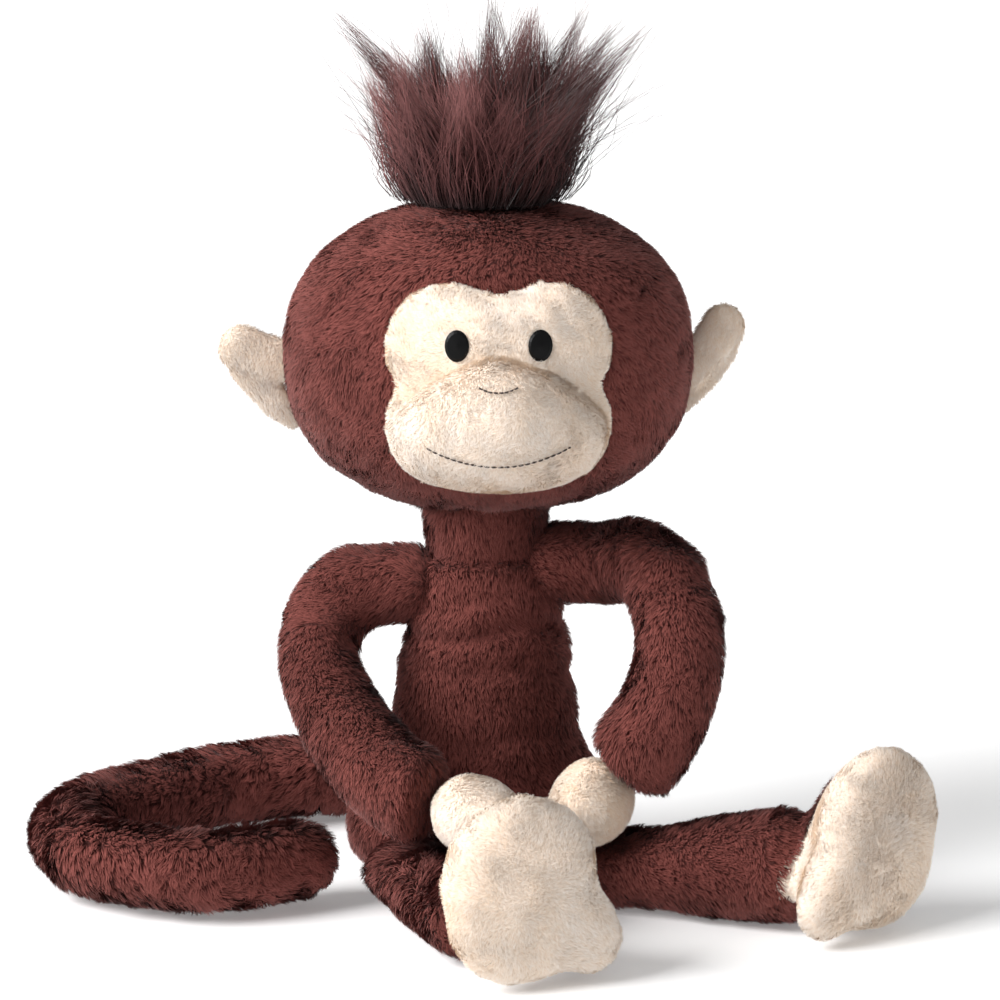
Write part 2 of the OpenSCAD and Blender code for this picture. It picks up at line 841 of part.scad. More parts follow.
function sole_ring(p, way, toe_side, share, out, n, inset) =
    let (c = ankle(p), across = [-way[1], way[0], 0])
    [
        for (k = [0 : n - 1])
            let (g = 360 * k / n, r = max(0.5, (sole_reach(g, toe_side) - inset) * share))
            c + way * out + across * (r * cos(g)) + up * (r * sin(g))
    ];

// Rings of a foot by how far they are in front of the seam: [share of the outline, distance]
sole_rings = [[1, 0], [0.985, 0.3], [0.93, 0.6], [0.8, 0.83], [0.55, 0.96], [0.04, 1]];
upper_rings = [[1, 0], [0.93, 0.12], [0.8, 0.3], [0.62, 0.52], [0.4, 0.82], [0.03, 0.97]];

module foot_half(p, way, toe_side, rings, reach, wall, front) {
    n = 28;
    sign = front ? 1 : -1;
    inner = [for (i = [len(rings) - 1 : -1 : 0]) rings[i]];
    start = sign * fit_gap / 2;
    all = concat(
        [for (q = inner) sole_ring(p, way, toe_side, q[0], start + sign * (reach - wall) * q[1], n, wall)],
        [for (q = rings) sole_ring(p, way, toe_side, q[0], start + sign * reach * q[1], n, 0)]
    );
    loft(front ? all : [for (i = [len(all) - 1 : -1 : 0]) all[i]]);
}

module foot_upper(p, way, toe_side) {
    color(brown)
        foot_half(p, way, toe_side, upper_rings, foot_back, pile, false);
}

module foot_sole(p, way, toe_side) {
    color(cream)
        foot_half(p, way, toe_side, sole_rings, sole_swell, short_pile, true);
}

module foot_stuffing(p, way, toe_side) {
    n = 20;
    inset = pile + 1.5;
    backs = [for (i = [len(upper_rings) - 1 : -1 : 1]) upper_rings[i]];
    color(white_fill)
        loft(concat(
            [for (q = backs) sole_ring(p, way, toe_side, q[0], -(foot_back - pile - 3) * q[1], n, inset)],
            [
                for (q = sole_rings)
                    sole_ring(p, way, toe_side, q[0], (sole_swell - short_pile - 1) * q[1], n, inset)
            ]
        ));
}

module right_foot_upper() {
    foot_upper(right_leg_route, right_foot_way, 1);
}

module right_foot_sole() {
    foot_sole(right_leg_route, right_foot_way, 1);
}

module right_foot_stuffing() {
    foot_stuffing(right_leg_route, right_foot_way, 1);
}

module left_foot_upper() {
    foot_upper(left_leg_route, left_foot_way, -1);
}

module left_foot_sole() {
    foot_sole(left_leg_route, left_foot_way, -1);
}

module left_foot_stuffing() {
    foot_stuffing(left_leg_route, left_foot_way, -1);
}

// ---------- tail ----------

// The tail lies on the ground: out of the back, round to the right and forward again.
// Its points are shares of the tail's length, from the root.
tail_turns = [
    [0, 0], [-0.108, 0.045], [-0.25, 0.011], [-0.386, -0.085], [-0.469, -0.193], [-0.463, -0.301],
    [-0.386, -0.381], [-0.278, -0.403], [-0.15, -0.324]
];
tail_root = off_torso(hip_level * torso_h, 97, tail_r + joint_gap);
tail_z = ground_gap + tail_r;

function tail_curve(k) = spline_route([
    for (q = tail_turns) [tail_root[0] + tail_l * k * q[0], tail_root[1] + tail_l * k * q[1], tail_z]
]);

tail_scale = tail_l / route_length(tail_curve(1));
tail_route = tail_curve(tail_scale);
tail_ends = [-tail_r, tail_l * 0.33, tail_l * 0.68, tail_l];
tail_dias = [for (s = tail_ends) between([tail_dia, tail_tip_dia], max(0, s) / tail_l)];

// The distance along the tail of the joint at a piece's start, or of the middle of its round tip
function tail_pivot(i) =
    i == 0 ? 0
    : i == 3 ? tail_l - tail_dias[3] / 2
    : tail_ends[i] + joint_gap + tail_dias[i] / 2;

module tail_piece(i, inset, n) {
    dias = [tail_dias[i], tail_dias[i + 1]];
    soft_tube(tail_route, tail_ends[i] + (i == 0 ? 0 : joint_gap), tail_ends[i + 1],
        [tail_pivot(i), tail_pivot(i + 1)], dias, dias, up, n, inset);
}

module tail_cover(i) {
    color(brown)
        difference() {
            tail_piece(i, 0, sides);
            tail_piece(i, pile, inner_sides);
        }
}

module tail_fill(i) {
    color(white_fill)
        tail_piece(i, pile + fill_gap, inner_sides);
}

module tail_root_cover() {
    tail_cover(0);
}

module tail_root_stuffing() {
    tail_fill(0);
}

module tail_middle_cover() {
    tail_cover(1);
}

module tail_middle_stuffing() {
    tail_fill(1);
}

module tail_end_cover() {
    tail_cover(2);
}

module tail_end_stuffing() {
    tail_fill(2);
}

// ---------- the toy ----------

torso_cover();
torso_stuffing();
seat_pellet_bag();
back_closing_seam();
neck_cover();
neck_stuffing();
head_cover();
head_stuffing();
face_panel();
muzzle_cover();
muzzle_stuffing();
right_eye_embroidery();
left_eye_embroidery();
nose_stitch();
mouth_stitch();
hair_backing();
hair_tuft();
right_ear_front();
right_ear_back();
left_ear_front();
left_ear_back();
right_upper_sleeve();
right_upper_arm_stuffing();
right_lower_sleeve();
right_lower_arm_stuffing();
right_hand_cover();
right_hand_stuffing();
left_upper_sleeve();
left_upper_arm_stuffing();
left_lower_sleeve();
left_lower_arm_stuffing();
left_hand_cover();
left_hand_stuffing();
right_thigh_cover();
right_thigh_stuffing();
right_shin_cover();
right_shin_stuffing();
right_foot_upper();
right_foot_sole();
right_foot_stuffing();
left_thigh_cover();
left_thigh_stuffing();
left_shin_cover();
left_shin_stuffing();
left_foot_upper();
left_foot_sole();
left_foot_stuffing();
tail_root_cover();
tail_root_stuffing();
tail_middle_cover();
tail_middle_stuffing();
tail_end_cover();
tail_end_stuffing();
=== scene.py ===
"""The stuffed monkey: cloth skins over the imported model, with the plush pile, the hair and the
stitching as geometry. Right and left are the toy's own, and the toy faces -Y."""

import json
import math

import bmesh
import bpy
import numpy as np
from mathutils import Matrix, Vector, kdtree
from mathutils.bvhtree import BVHTree


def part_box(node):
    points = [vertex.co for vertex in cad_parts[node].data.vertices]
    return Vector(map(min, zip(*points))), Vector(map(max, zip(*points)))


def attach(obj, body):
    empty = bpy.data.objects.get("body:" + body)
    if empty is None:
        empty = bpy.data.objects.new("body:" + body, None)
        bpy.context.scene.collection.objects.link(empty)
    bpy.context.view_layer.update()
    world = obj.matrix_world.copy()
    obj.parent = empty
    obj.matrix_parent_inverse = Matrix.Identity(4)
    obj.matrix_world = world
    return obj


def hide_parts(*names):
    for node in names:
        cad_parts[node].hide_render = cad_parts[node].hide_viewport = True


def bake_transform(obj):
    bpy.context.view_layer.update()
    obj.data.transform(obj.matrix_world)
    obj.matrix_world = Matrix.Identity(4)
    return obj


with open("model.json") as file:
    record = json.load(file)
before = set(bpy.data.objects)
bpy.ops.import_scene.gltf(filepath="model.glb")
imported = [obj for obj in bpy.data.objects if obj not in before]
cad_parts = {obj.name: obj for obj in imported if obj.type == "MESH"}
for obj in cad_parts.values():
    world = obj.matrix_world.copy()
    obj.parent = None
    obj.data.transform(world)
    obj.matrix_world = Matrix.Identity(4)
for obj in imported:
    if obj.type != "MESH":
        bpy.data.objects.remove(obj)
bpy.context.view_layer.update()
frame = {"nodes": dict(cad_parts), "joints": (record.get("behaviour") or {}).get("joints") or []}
NODES = frame["nodes"]
JOINTS = {j["name"]: j for j in frame["joints"]}
scene = bpy.context.scene
MM = 0.001
TURN = 2 * math.pi


def rng(seed):
    return np.random.default_rng(seed)


def unit(v):
    v = np.asarray(v, float)
    return v / np.maximum(np.linalg.norm(v, axis=-1, keepdims=True), 1e-12)


def pivot(joint):
    return np.array(JOINTS[joint]["pos_m"], float)


# ---------- materials ----------


def linear(c):
    """A colour given as 0-255 screen values."""
    c = np.asarray(c, float) / 255
    return tuple(np.where(c <= 0.04045, c / 12.92, ((c + 0.055) / 1.055) ** 2.4)) + (1.0,)


def new_material(name, roughness, sheen=0.0, specular=0.2):
    m = bpy.data.materials.new(name)
    m.use_nodes = True
    b = m.node_tree.nodes["Principled BSDF"]
    b.inputs["Roughness"].default_value = roughness
    b.inputs["Sheen Weight"].default_value = sheen
    b.inputs["Sheen Roughness"].default_value = 0.5
    b.inputs["Specular IOR Level"].default_value = specular
    return m, m.node_tree, b


def ramp(tree, stops):
    r = tree.nodes.new("ShaderNodeValToRGB")
    while len(r.color_ramp.elements) < len(stops):
        r.color_ramp.elements.new(0.5)
    for e, (at, colour) in zip(r.color_ramp.elements, stops):
        e.position = at
        e.color = colour
    return r


def pile_material(name, length_stops, tint_stops, roughness=0.85, sheen=0.25):
    """The map runs across the strands by their shade and up them from the root to the tip."""
    m, tree, b = new_material(name, roughness, sheen)
    uv = tree.nodes.new("ShaderNodeUVMap")
    uv.uv_map = "OFBake"
    split = tree.nodes.new("ShaderNodeSeparateXYZ")
    along = ramp(tree, [(at, linear(c)) for at, c in length_stops])
    tint = ramp(tree, [(at, linear(c)) for at, c in tint_stops])
    mix = tree.nodes.new("ShaderNodeMix")
    mix.data_type = "RGBA"
    mix.blend_type = "MULTIPLY"
    mix.inputs["Factor"].default_value = 1.0
    tree.links.new(uv.outputs["UV"], split.inputs[0])
    tree.links.new(split.outputs["Y"], along.inputs["Fac"])
    tree.links.new(split.outputs["X"], tint.inputs["Fac"])
    tree.links.new(along.outputs["Color"], mix.inputs["A"])
    tree.links.new(tint.outputs["Color"], mix.inputs["B"])
    tree.links.new(mix.outputs["Result"], b.inputs["Base Color"])
    return m


def cloth_material(name, dark, light, scale, bump, roughness=0.9, sheen=0.2):
    """The knitted backing under the pile."""
    m, tree, b = new_material(name, roughness, sheen)
    place = tree.nodes.new("ShaderNodeTexCoord")
    noise = tree.nodes.new("ShaderNodeTexNoise")
    noise.inputs["Scale"].default_value = scale
    noise.inputs["Detail"].default_value = 4
    tone = ramp(tree, [(0.3, linear(dark)), (0.7, linear(light))])
    b_node = tree.nodes.new("ShaderNodeBump")
    b_node.inputs["Strength"].default_value = bump
    b_node.inputs["Distance"].default_value = 0.0006
    tree.links.new(place.outputs["Object"], noise.inputs["Vector"])
    tree.links.new(noise.outputs["Fac"], tone.inputs["Fac"])
    tree.links.new(tone.outputs["Color"], b.inputs["Base Color"])
    tree.links.new(noise.outputs["Fac"], b_node.inputs["Height"])
    tree.links.new(b_node.outputs["Normal"], b.inputs["Normal"])
    return m


def thread_material(name, dark, light, specular, roughness):
    m, tree, b = new_material(name, roughness, 0.0, specular)
    place = tree.nodes.new("ShaderNodeTexCoord")
    wave = tree.nodes.new("ShaderNodeTexWave")  # the twist of the thread, drawn as diagonal bands: painted shade in its grooves and painted light on its plies
    wave.bands_direction = "DIAGONAL"
    wave.inputs["Scale"].default_value = 900
    wave.inputs["Distortion"].default_value = 1.5
    tone = ramp(tree, [(0.2, linear(dark)), (0.9, linear(light))])
    tree.links.new(place.outputs["Object"], wave.inputs["Vector"])
    tree.links.new(wave.outputs["Fac"], tone.inputs["Fac"])
    tree.links.new(tone.outputs["Color"], b.inputs["Base Color"])
    return m


brown_cloth = cloth_material("brown_backing", (84, 44, 40), (112, 62, 57), 900, 0.6)
cream_cloth = cloth_material("cream_backing", (236, 217, 198), (247, 234, 220), 700, 0.6)
brown_pile = pile_material(
    "brown_pile",
    [(0.0, (90, 45, 41)), (0.45, (124, 67, 61)), (1.0, (157, 91, 84))],
    [(0.0, (184, 172, 170)), (0.5, (220, 213, 211)), (1.0, (252, 247, 245))],
    0.9,
    0.08,
)
cream_pile = pile_material(
    "cream_pile",
    [(0.0, (243, 226, 209)), (0.5, (249, 237, 225)), (1.0, (254, 248, 242))],
    [(0.0, (243, 228, 209)), (0.5, (252, 247, 241)), (1.0, (255, 255, 255))],
    0.95,
    0.05,
)
hair_pile = pile_material(
    "hair_pile",
    [(0.0, (40, 21, 21)), (0.3, (96, 56, 55)), (0.75, (138, 88, 86)), (1.0, (176, 124, 121))],
    [(0.0, (140, 124, 124)), (0.5, (205, 194, 194)), (1.0, (255, 250, 248))],
    0.75,
    0.1,
)
eye_thread = thread_material("eye_thread", (3, 3, 4), (12, 11, 12), 0.15, 0.4)
line_thread = thread_material("line_thread", (50, 42, 40), (92, 80, 74), 0.2, 0.8)
seam_thread = thread_material("seam_thread", (34, 18, 16), (70, 40, 36), 0.2, 0.8)
filling = cloth_material("fibre_filling", (222, 220, 214), (250, 249, 246), 240, 0.9, 0.95, 0.3)
bag_cloth = cloth_material("bag_cloth", (186, 170, 142), (214, 200, 172), 1300, 0.7)


# ---------- meshes ----------


def points_of(me):
    v = np.empty(len(me.vertices) * 3)
    me.vertices.foreach_get("co", v)
    return v.reshape(-1, 3)


def arrays(me):
    """Points and triangles of a mesh."""
    me.calc_loop_triangles()
    t = np.empty(len(me.loop_triangles) * 3, np.int32)
    me.loop_triangles.foreach_get("vertices", t)
    return points_of(me), t.reshape(-1, 3)


def shells(node):
    """The closed shells of a CAD node, the largest first, each as points and triangles."""
    v, t = arrays(NODES[node].data)
    welded = np.round(v / 1e-6).astype(np.int64)
    _, first, same = np.unique(welded, axis=0, return_index=True, return_inverse=True)
    v, t = v[first], same.reshape(-1)[t]
    label = np.arange(len(v))
    while True:
        new = label.copy()
        np.minimum.at(new, t.ravel(), np.repeat(label[t].min(axis=1), 3))
        new = new[new]
        if (new == label).all():
            break
        label = new
    out = []
    for k in np.unique(label):
        mine = t[label[t[:, 0]] == k]
        if len(mine):
            used, back = np.unique(mine, return_inverse=True)
            out.append((v[used], back.reshape(-1, 3)))
    return sorted(out, key=lambda s: -np.ptp(s[0], axis=0).prod())


def link(name, v, faces, material=None):
    me = bpy.data.meshes.new(name)
    me.from_pydata([tuple(p) for p in v], [], [tuple(int(i) for i in f) for f in faces])
    me.update()
    o = bpy.data.objects.new(name, me)
    scene.collection.objects.link(o)
    if material:
        me.materials.append(material)
    return o


def baked(o):
    """The object's own mesh becomes what its modifiers make of it."""
    dg = bpy.context.evaluated_depsgraph_get()
    me = bpy.data.meshes.new_from_object(o.evaluated_get(dg))
    o.modifiers.clear()
    o.data = me
    return o


def move_points(o, v):
    o.data.vertices.foreach_set("co", v.ravel())
    o.data.update()


def smooth_shaded(o):
    o.data.polygons.foreach_set("use_smooth", [True] * len(o.data.polygons))


def skin(name, parts, size, smooth, inset):
    """One closed skin round some shells, set in from them by the pile that stands on it."""
    v, t, n = [], [], 0
    for pv, pt in parts:
        v.append(pv)
        t.append(pt + n)
        n += len(pv)
    o = link(name, np.vstack(v), np.vstack(t))
    m = o.modifiers.new("voxels", "REMESH")
    m.mode = "VOXEL"
    m.voxel_size = size
    s = o.modifiers.new("even", "SMOOTH")
    s.iterations = smooth
    s.factor = 0.6
    baked(o)
    move_points(o, points_of(o.data) - normals(o.data) * inset)
    return o


def normals(me):
    n = np.empty(len(me.vertices) * 3)
    me.vertex_normals.foreach_get("vector", n)
    return n.reshape(-1, 3)


def ball(centre, r, stretch=None):
    """A ball of points and triangles, to fill the pinch at a joint before a skin goes round it."""
    b = bmesh.new()
    bmesh.ops.create_icosphere(b, subdivisions=3, radius=r)
    me = bpy.data.meshes.new("ball")
    b.to_mesh(me)
    b.free()
    v, t = arrays(me)
    bpy.data.meshes.remove(me)
    if stretch is not None:
        v = v * np.asarray(stretch)
    return v + centre, t


# ---------- stuffing by cloth simulation ----------

FILL_FRAMES = 20
to_fill = []  # each a skin, the pressure in it, and the farthest a point of it may move


def stuffed(o, pressure, cap):
    to_fill.append((o, pressure, cap))
    return o


def fill_all():
    """Blows every skin up against its own cloth, and keeps how far a point moves under its cap."""
    rest = {}
    for o, pressure, _ in to_fill:
        rest[o.name] = points_of(o.data)
        m = o.modifiers.new("Cloth", "CLOTH")
        s = m.settings
        s.quality = 4
        s.mass = 0.3
        s.use_pressure = True
        s.uniform_pressure_force = pressure
        s.effector_weights.gravity = 0
        s.tension_stiffness = 12
        s.compression_stiffness = 12
        s.shear_stiffness = 5
        s.bending_stiffness = 0.5
    scene.frame_start, scene.frame_end = 1, FILL_FRAMES
    for f in range(1, FILL_FRAMES + 1):
        scene.frame_set(f)
    dg = bpy.context.evaluated_depsgraph_get()
    for o, _, cap in to_fill:
        step = points_of(o.evaluated_get(dg).to_mesh()) - rest[o.name]
        far = np.linalg.norm(step, axis=1, keepdims=True)
        step *= np.minimum(1, cap / np.maximum(far, 1e-9))
        o.evaluated_get(dg).to_mesh_clear()
        o.modifiers.clear()
        move_points(o, rest[o.name] + step)
    scene.frame_set(1)


# ---------- pile ----------


def field(p, scale, seed):
    """A smooth random value from -1 to 1 at each point, from a few waves."""
    r = rng(seed)
    out = np.zeros(len(p))
    for _ in range(6):
        k = unit(r.normal(size=3)) * scale * r.uniform(0.6, 1.8)
        out += np.sin(p @ k + r.uniform(0, 6.28))
    return out / 3.2


def ribbons(name, path, width, facing, shade, material, lit_from, tip=0.25):
    """Flat tapering strands. path is strands x points x 3, facing the way their flat sides look, shade
    the place of each on its material's tint, and lit_from the normals they are lit by."""
    n, k, _ = path.shape
    way = np.gradient(path, axis=1)
    side = unit(np.cross(way, facing[:, None, :]))
    taper = np.interp(np.linspace(0, 1, k), [0, 0.35, 1], [0.8, 1, tip])[None, :, None]
    half = side * (width[:, None, None] / 2) * taper
    v = np.stack([path - half, path + half], axis=2).reshape(-1, 3)
    base = (np.arange(n) * k * 2)[:, None] + (np.arange(k - 1) * 2)[None, :]
    quads = np.stack([base, base + 1, base + 3, base + 2], axis=-1).reshape(-1, 4)
    me = bpy.data.meshes.new(name)
    me.vertices.add(len(v))
    me.vertices.foreach_set("co", v.astype(np.float32).ravel())
    me.loops.add(quads.size)
    me.loops.foreach_set("vertex_index", quads.astype(np.int32).ravel())
    me.polygons.add(len(quads))
    me.polygons.foreach_set("loop_start", np.arange(0, quads.size, 4, dtype=np.int32))
    me.polygons.foreach_set("loop_total", np.full(len(quads), 4, np.int32))
    uv = me.uv_layers.new(name="OFBake")
    u = np.repeat(np.clip(shade, 0.01, 0.985), k * 2) + np.tile([0.0, 0.006], n * k)
    w = np.tile(np.repeat(np.linspace(0.01, 0.99, k), 2), n)
    uv.data.foreach_set("uv", np.stack([u, w], axis=-1)[quads.ravel()].astype(np.float32).ravel())
    me.update(calc_edges=True)
    me.materials.append(material)
    me.normals_split_custom_set_from_vertices(np.repeat(lit_from, k * 2, axis=0).astype(np.float32))
    o = bpy.data.objects.new(name, me)
    scene.collection.objects.link(o)
    return o


def scatter(v, t, n_vertex, count, seed):
    """Random points on a skin, with the skin's normal at each."""
    r = rng(seed)
    a, b, c = v[t[:, 0]], v[t[:, 1]], v[t[:, 2]]
    area = np.linalg.norm(np.cross(b - a, c - a), axis=1) / 2
    f = r.choice(len(t), size=count, p=area / area.sum())
    s, q = np.sqrt(r.random(count)), r.random(count)
    w = np.stack([1 - s, s * (1 - q), s * q], axis=-1)
    p = (v[t[f]] * w[:, :, None]).sum(axis=1)
    return p, unit((n_vertex[t[f]] * w[:, :, None]).sum(axis=1))


def area_of(v, t):
    a, b, c = v[t[:, 0]], v[t[:, 1]], v[t[:, 2]]
    return np.linalg.norm(np.cross(b - a, c - a), axis=1).sum() / 2


def nearest(points, queries):
    """For each query, the index of the nearest point and how far it is."""
    tree = kdtree.KDTree(len(points))
    for i, p in enumerate(points):
        tree.insert(p, i)
    tree.balance()
    found = [tree.find(q) for q in queries]
    return np.array([f[1] for f in found]), np.array([f[2] for f in found])


def grow(p, n, way, length, look, seed):
    """Paths of strands that start at p, stand on n, lean along way and draw together in clumps. Also
    gives the clump that each is in."""
    r = rng(seed)
    count, points = len(p), look["points"]
    way = way - (way * n).sum(axis=1, keepdims=True) * n
    way = unit(way + look["wild"] * unit(r.normal(size=(count, 3))))
    way = unit(way - (way * n).sum(axis=1, keepdims=True) * n)
    long = length * r.uniform(0.75, 1.2, count)
    path = [p]
    for i in range(1, points):
        angle = look["lean"] + look["curl"] * i / (points - 1)
        step = n * np.cos(angle) + way * np.sin(angle)
        path.append(path[-1] + step * (long / (points - 1))[:, None])
    path = np.stack(path, axis=1)
    heads = max(1, int(count / look["clump_size"]))
    pick = r.choice(count, size=heads, replace=False)
    who, _ = nearest(p[pick], p)
    pull = np.clip(look["clump"] * r.uniform(0.5, 1.3, heads)[who], 0, 0.92)[:, None]
    centre = path[pick][who] + (p - p[pick][who])[:, None, :] * 0.15
    for i in range(1, points):
        s = (i / (points - 1)) ** 1.3
        path[:, i] = path[:, i] * (1 - pull * s) + centre[:, i] * (pull * s)
    return path, who


STRANDS_PER_PIECE = 48000  # so that no piece passes 200,000 triangles


def swirl(p, scale, seed):
    """A smooth random direction at each point, as where a hand has brushed the pile."""
    return np.stack([field(p, scale, seed + i) for i in (0, 100, 200)], axis=-1)


def coat(name, skin_data, way, look, seed, keep=None, dark=None, **changes):
    """Covers a patch of skin with pile, as one piece or a few. way gives the way it is brushed, keep
    where it grows, and dark how much darker it is."""
    v, t, nv = skin_data
    k = {**look, **changes}
    p, n = scatter(v, t, nv, int(area_of(v, t) * 1e6 * k["per_mm2"]), seed)
    off_floor = p[:, 2] > k["lowest"]
    p, n = p[off_floor], n[off_floor]
    if keep is not None:
        ok = keep(p, n)
        p, n = p[ok], n[ok]
    if len(p) < 10:
        return []
    w = unit(way(p, n)) + k["brushed"] * (swirl(p, 190, seed + 20) + 0.7 * swirl(p, 520, seed + 40))
    r = rng(seed + 1)
    long = k["length"] * (1 + 0.12 * field(p, 120, seed + 5) + 0.16 * field(p, 420, seed + 6))
    path, who = grow(p, n, w, long, k, seed + 2)
    path[:, :, 2] = np.maximum(path[:, :, 2], 0.2 * MM)  # above the floor
    tone = 0.5 + 0.22 * (r.random(who.max() + 1)[who] - 0.5) + 0.25 * (r.random(len(p)) - 0.5)
    tone = tone + 0.16 * field(p, 60, seed + 9) + 0.12 * field(p, 300, seed + 10)
    if dark is not None:
        tone = tone - dark(p)
    facing = unit(n + 0.25 * r.normal(size=n.shape))
    wide = k["width"] * r.uniform(0.75, 1.2, len(p))
    lit = n + (1 - k["soften"]) * unit(r.normal(size=n.shape))
    lit = unit(lit + 0.2 * (path[:, -1] - p) / k["length"])
    tone = np.clip(tone, 0.02, 0.97)
    count = -(-len(p) // STRANDS_PER_PIECE)
    made = []
    for i in range(count):
        q = slice(i, None, count)
        made.append(ribbons(f"{name}_{i}", path[q], wide[q], facing[q], tone[q], k["material"], lit[q]))
    return made


# ---------- the skins ----------


def outer(*names):
    """The outer shell of each node, without the hollow inside it."""
    return [shells(n)[0] for n in names]


def cut(o, zones, names, material):
    """Splits a skin by the zone of each face, with the same points along both sides of a cut."""
    v, t = arrays(o.data)
    nv = normals(o.data)
    out = []
    for k, name in enumerate(names):
        mine = t[zones == k]
        if not len(mine):
            out.append(None)
            continue
        used, back = np.unique(mine, return_inverse=True)
        back = back.reshape(-1, 3)
        piece = link(name, v[used], back, material)
        smooth_shaded(piece)
        piece.data.normals_split_custom_set_from_vertices(nv[used].astype(np.float32))
        out.append((piece, (v[used], back, nv[used])))
    return out


def chain_zones(v, nodes, joints):
    """Which joint of a limb each point is nearest along it: points past the middle of a segment
    belong to the next joint."""
    pts, seg = [], []
    for i, node in enumerate(nodes):
        pv = shells(node)[0][0]
        pts.append(pv)
        seg += [i] * len(pv)
    who, _ = nearest(np.vstack(pts), v)
    seg = np.array(seg)[who]
    at = [pivot(j) for j in joints]
    zone = seg.copy()
    for i in range(len(joints) - 1):
        a, b = at[i], at[i + 1]
        share = ((v - a) @ (b - a)) / ((b - a) @ (b - a))
        zone[(seg == i) & (share > 0.5)] = i + 1
    return np.minimum(zone, len(joints) - 1)


def joint_axis_way(joint, node_before, node_after):
    """The way a limb runs through a joint, from the middles of what it joins."""
    a = np.array(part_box(node_before), float).mean(axis=0)
    b = np.array(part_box(node_after), float).mean(axis=0)
    p = pivot(joint)
    return unit(unit(p - a) + unit(b - p))


torso_mid = np.array(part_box("torso_cover"), float).mean(axis=0)
neck_box = np.array(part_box("neck_cover"), float)
torso = skin("torso_skin", outer("torso_cover"), 4.0 * MM, 6, 3.4 * MM)
neck_foot = neck_box.mean(axis=0) * [1, 1, 0] + [0, 0, neck_box[0][2] - 6 * MM]
neck = skin("neck_skin", outer("neck_cover") + [ball(neck_foot, 24 * MM)], 3.5 * MM, 8, 3.0 * MM)


def out_of_torso(joint):
    """The level way from the middle of the torso through a joint on it."""
    return unit((pivot(joint) - torso_mid) * [1, 1, 0])


def joint_balls(joint, before, after, r, stretch=None):
    """Fills the pinch between two pieces of a limb, along its middle line through their joint."""
    at = pivot(joint)
    out = [ball(at, r, stretch)]
    for node in (before, after):
        v = shells(node)[0][0]
        far = np.linalg.norm(v - at, axis=1)
        middle = v[(far > r) & (far < 1.9 * r)].mean(axis=0)
        out += [ball(at * (1 - s) + middle * s, r, stretch) for s in (0.35, 0.7)]
    return out


def root_balls(joint, r, steps, stretch=None):
    """Fills a limb's root back into the torso."""
    return [ball(pivot(joint) - out_of_torso(joint) * d, r, stretch) for d in steps]


# Limbs: each is one skin round its pieces, with the pinch at every joint filled
limbs = {}
for side in ("right", "left"):
    arm_r = 18.7 * MM
    shoulder, elbow = side + "_shoulder_lift", side + "_elbow_bend"
    arm_nodes = [side + "_upper_sleeve", side + "_lower_sleeve"]
    parts = outer(*arm_nodes) + joint_balls(elbow, *arm_nodes, arm_r)
    parts += root_balls(shoulder, arm_r, (0, 12 * MM, 22 * MM))
    limbs[side + "_arm"] = dict(
        nodes=arm_nodes,
        joints=[shoulder, elbow],
        bodies=["torso", side + "_upper_arm", side + "_forearm"],
        skin=stuffed(skin(side + "_arm_skin", parts, 3.5 * MM, 8, 3.2 * MM), 2.0, 1.2 * MM),
    )
    leg_r = 19 * MM
    hip, knee, ankle = side + "_hip_spread", side + "_knee_lift", side + "_ankle_turn"
    way = unit((pivot(ankle) - pivot(knee)) * [1, 1, 0])
    low_ankle = pivot(ankle) * [1, 1, 0.75]
    leg_nodes = [side + "_thigh_cover", side + "_shin_cover"]
    parts = outer(*leg_nodes) + joint_balls(knee, *leg_nodes, 20.5 * MM, (1, 1, 0.8))
    parts += [s for n in ("_foot_upper", "_foot_sole", "_foot_stuffing") for s in shells(side + n)]
    parts += root_balls(hip, leg_r, (0, 14 * MM), (1, 1, 0.74))
    parts += [ball(low_ankle - way * d, leg_r, (1, 1, 0.8)) for d in (20 * MM, 32 * MM)]
    limbs[side + "_leg"] = dict(
        nodes=[side + "_thigh_cover", side + "_shin_cover", side + "_foot_upper"],
        joints=[hip, knee, ankle],
        bodies=["torso", side + "_thigh", side + "_shin", side + "_foot"],
        skin=stuffed(skin(side + "_leg_skin", parts, 3.5 * MM, 5, 2.2 * MM), 2.0, 1.0 * MM),
        way=way,
    )
tail_joints = ("tail_root_wag", "tail_middle_uncurl", "tail_end_uncurl")
tail_nodes = ["tail_root_cover", "tail_middle_cover", "tail_end_cover"]
parts = outer(*tail_nodes)
for i in (0, 1):
    parts += joint_balls(tail_joints[i + 1], tail_nodes[i], tail_nodes[i + 1], (18.9 - 0.6 * i) * MM)
parts += root_balls(tail_joints[0], 18 * MM, (0, 12 * MM, 20 * MM))
limbs["tail"] = dict(
    nodes=tail_nodes,
    joints=list(tail_joints),
    bodies=["torso", "tail_root", "tail_middle", "tail_end"],
    skin=stuffed(skin("tail_skin", parts, 4.0 * MM, 6, 3.6 * MM), 2.0, 1.2 * MM),
)

# Head, face and hands
head = skin("head_skin", outer("head_cover"), 4.5 * MM, 6, 3.2 * MM)
panel = skin("face_skin", outer("face_panel"), 1.6 * MM, 3, 0.4 * MM)
muzzle = stuffed(skin("muzzle_skin", outer("muzzle_cover"), 2.4 * MM, 4, 1.4 * MM), 1.5, 0.8 * MM)
hands = {}
for side in ("right", "left"):
    hand = skin(side + "_hand_skin", outer(side + "_hand_cover"), 2.2 * MM, 4, 1.5 * MM)
    hands[side] = stuffed(hand, 1.5, 0.8 * MM)


def row(points, n=9):
    """Flat balls along a line of (x, y, z, radius) points, to be joined into one form."""
    p = np.array(points, float)
    at = np.linspace(0, len(p) - 1, n)
    between = np.stack([np.interp(at, range(len(p)), c) for c in p.T], axis=-1)
    return [ball(q[:3], q[3], (1, 0.5, 1)) for q in between]


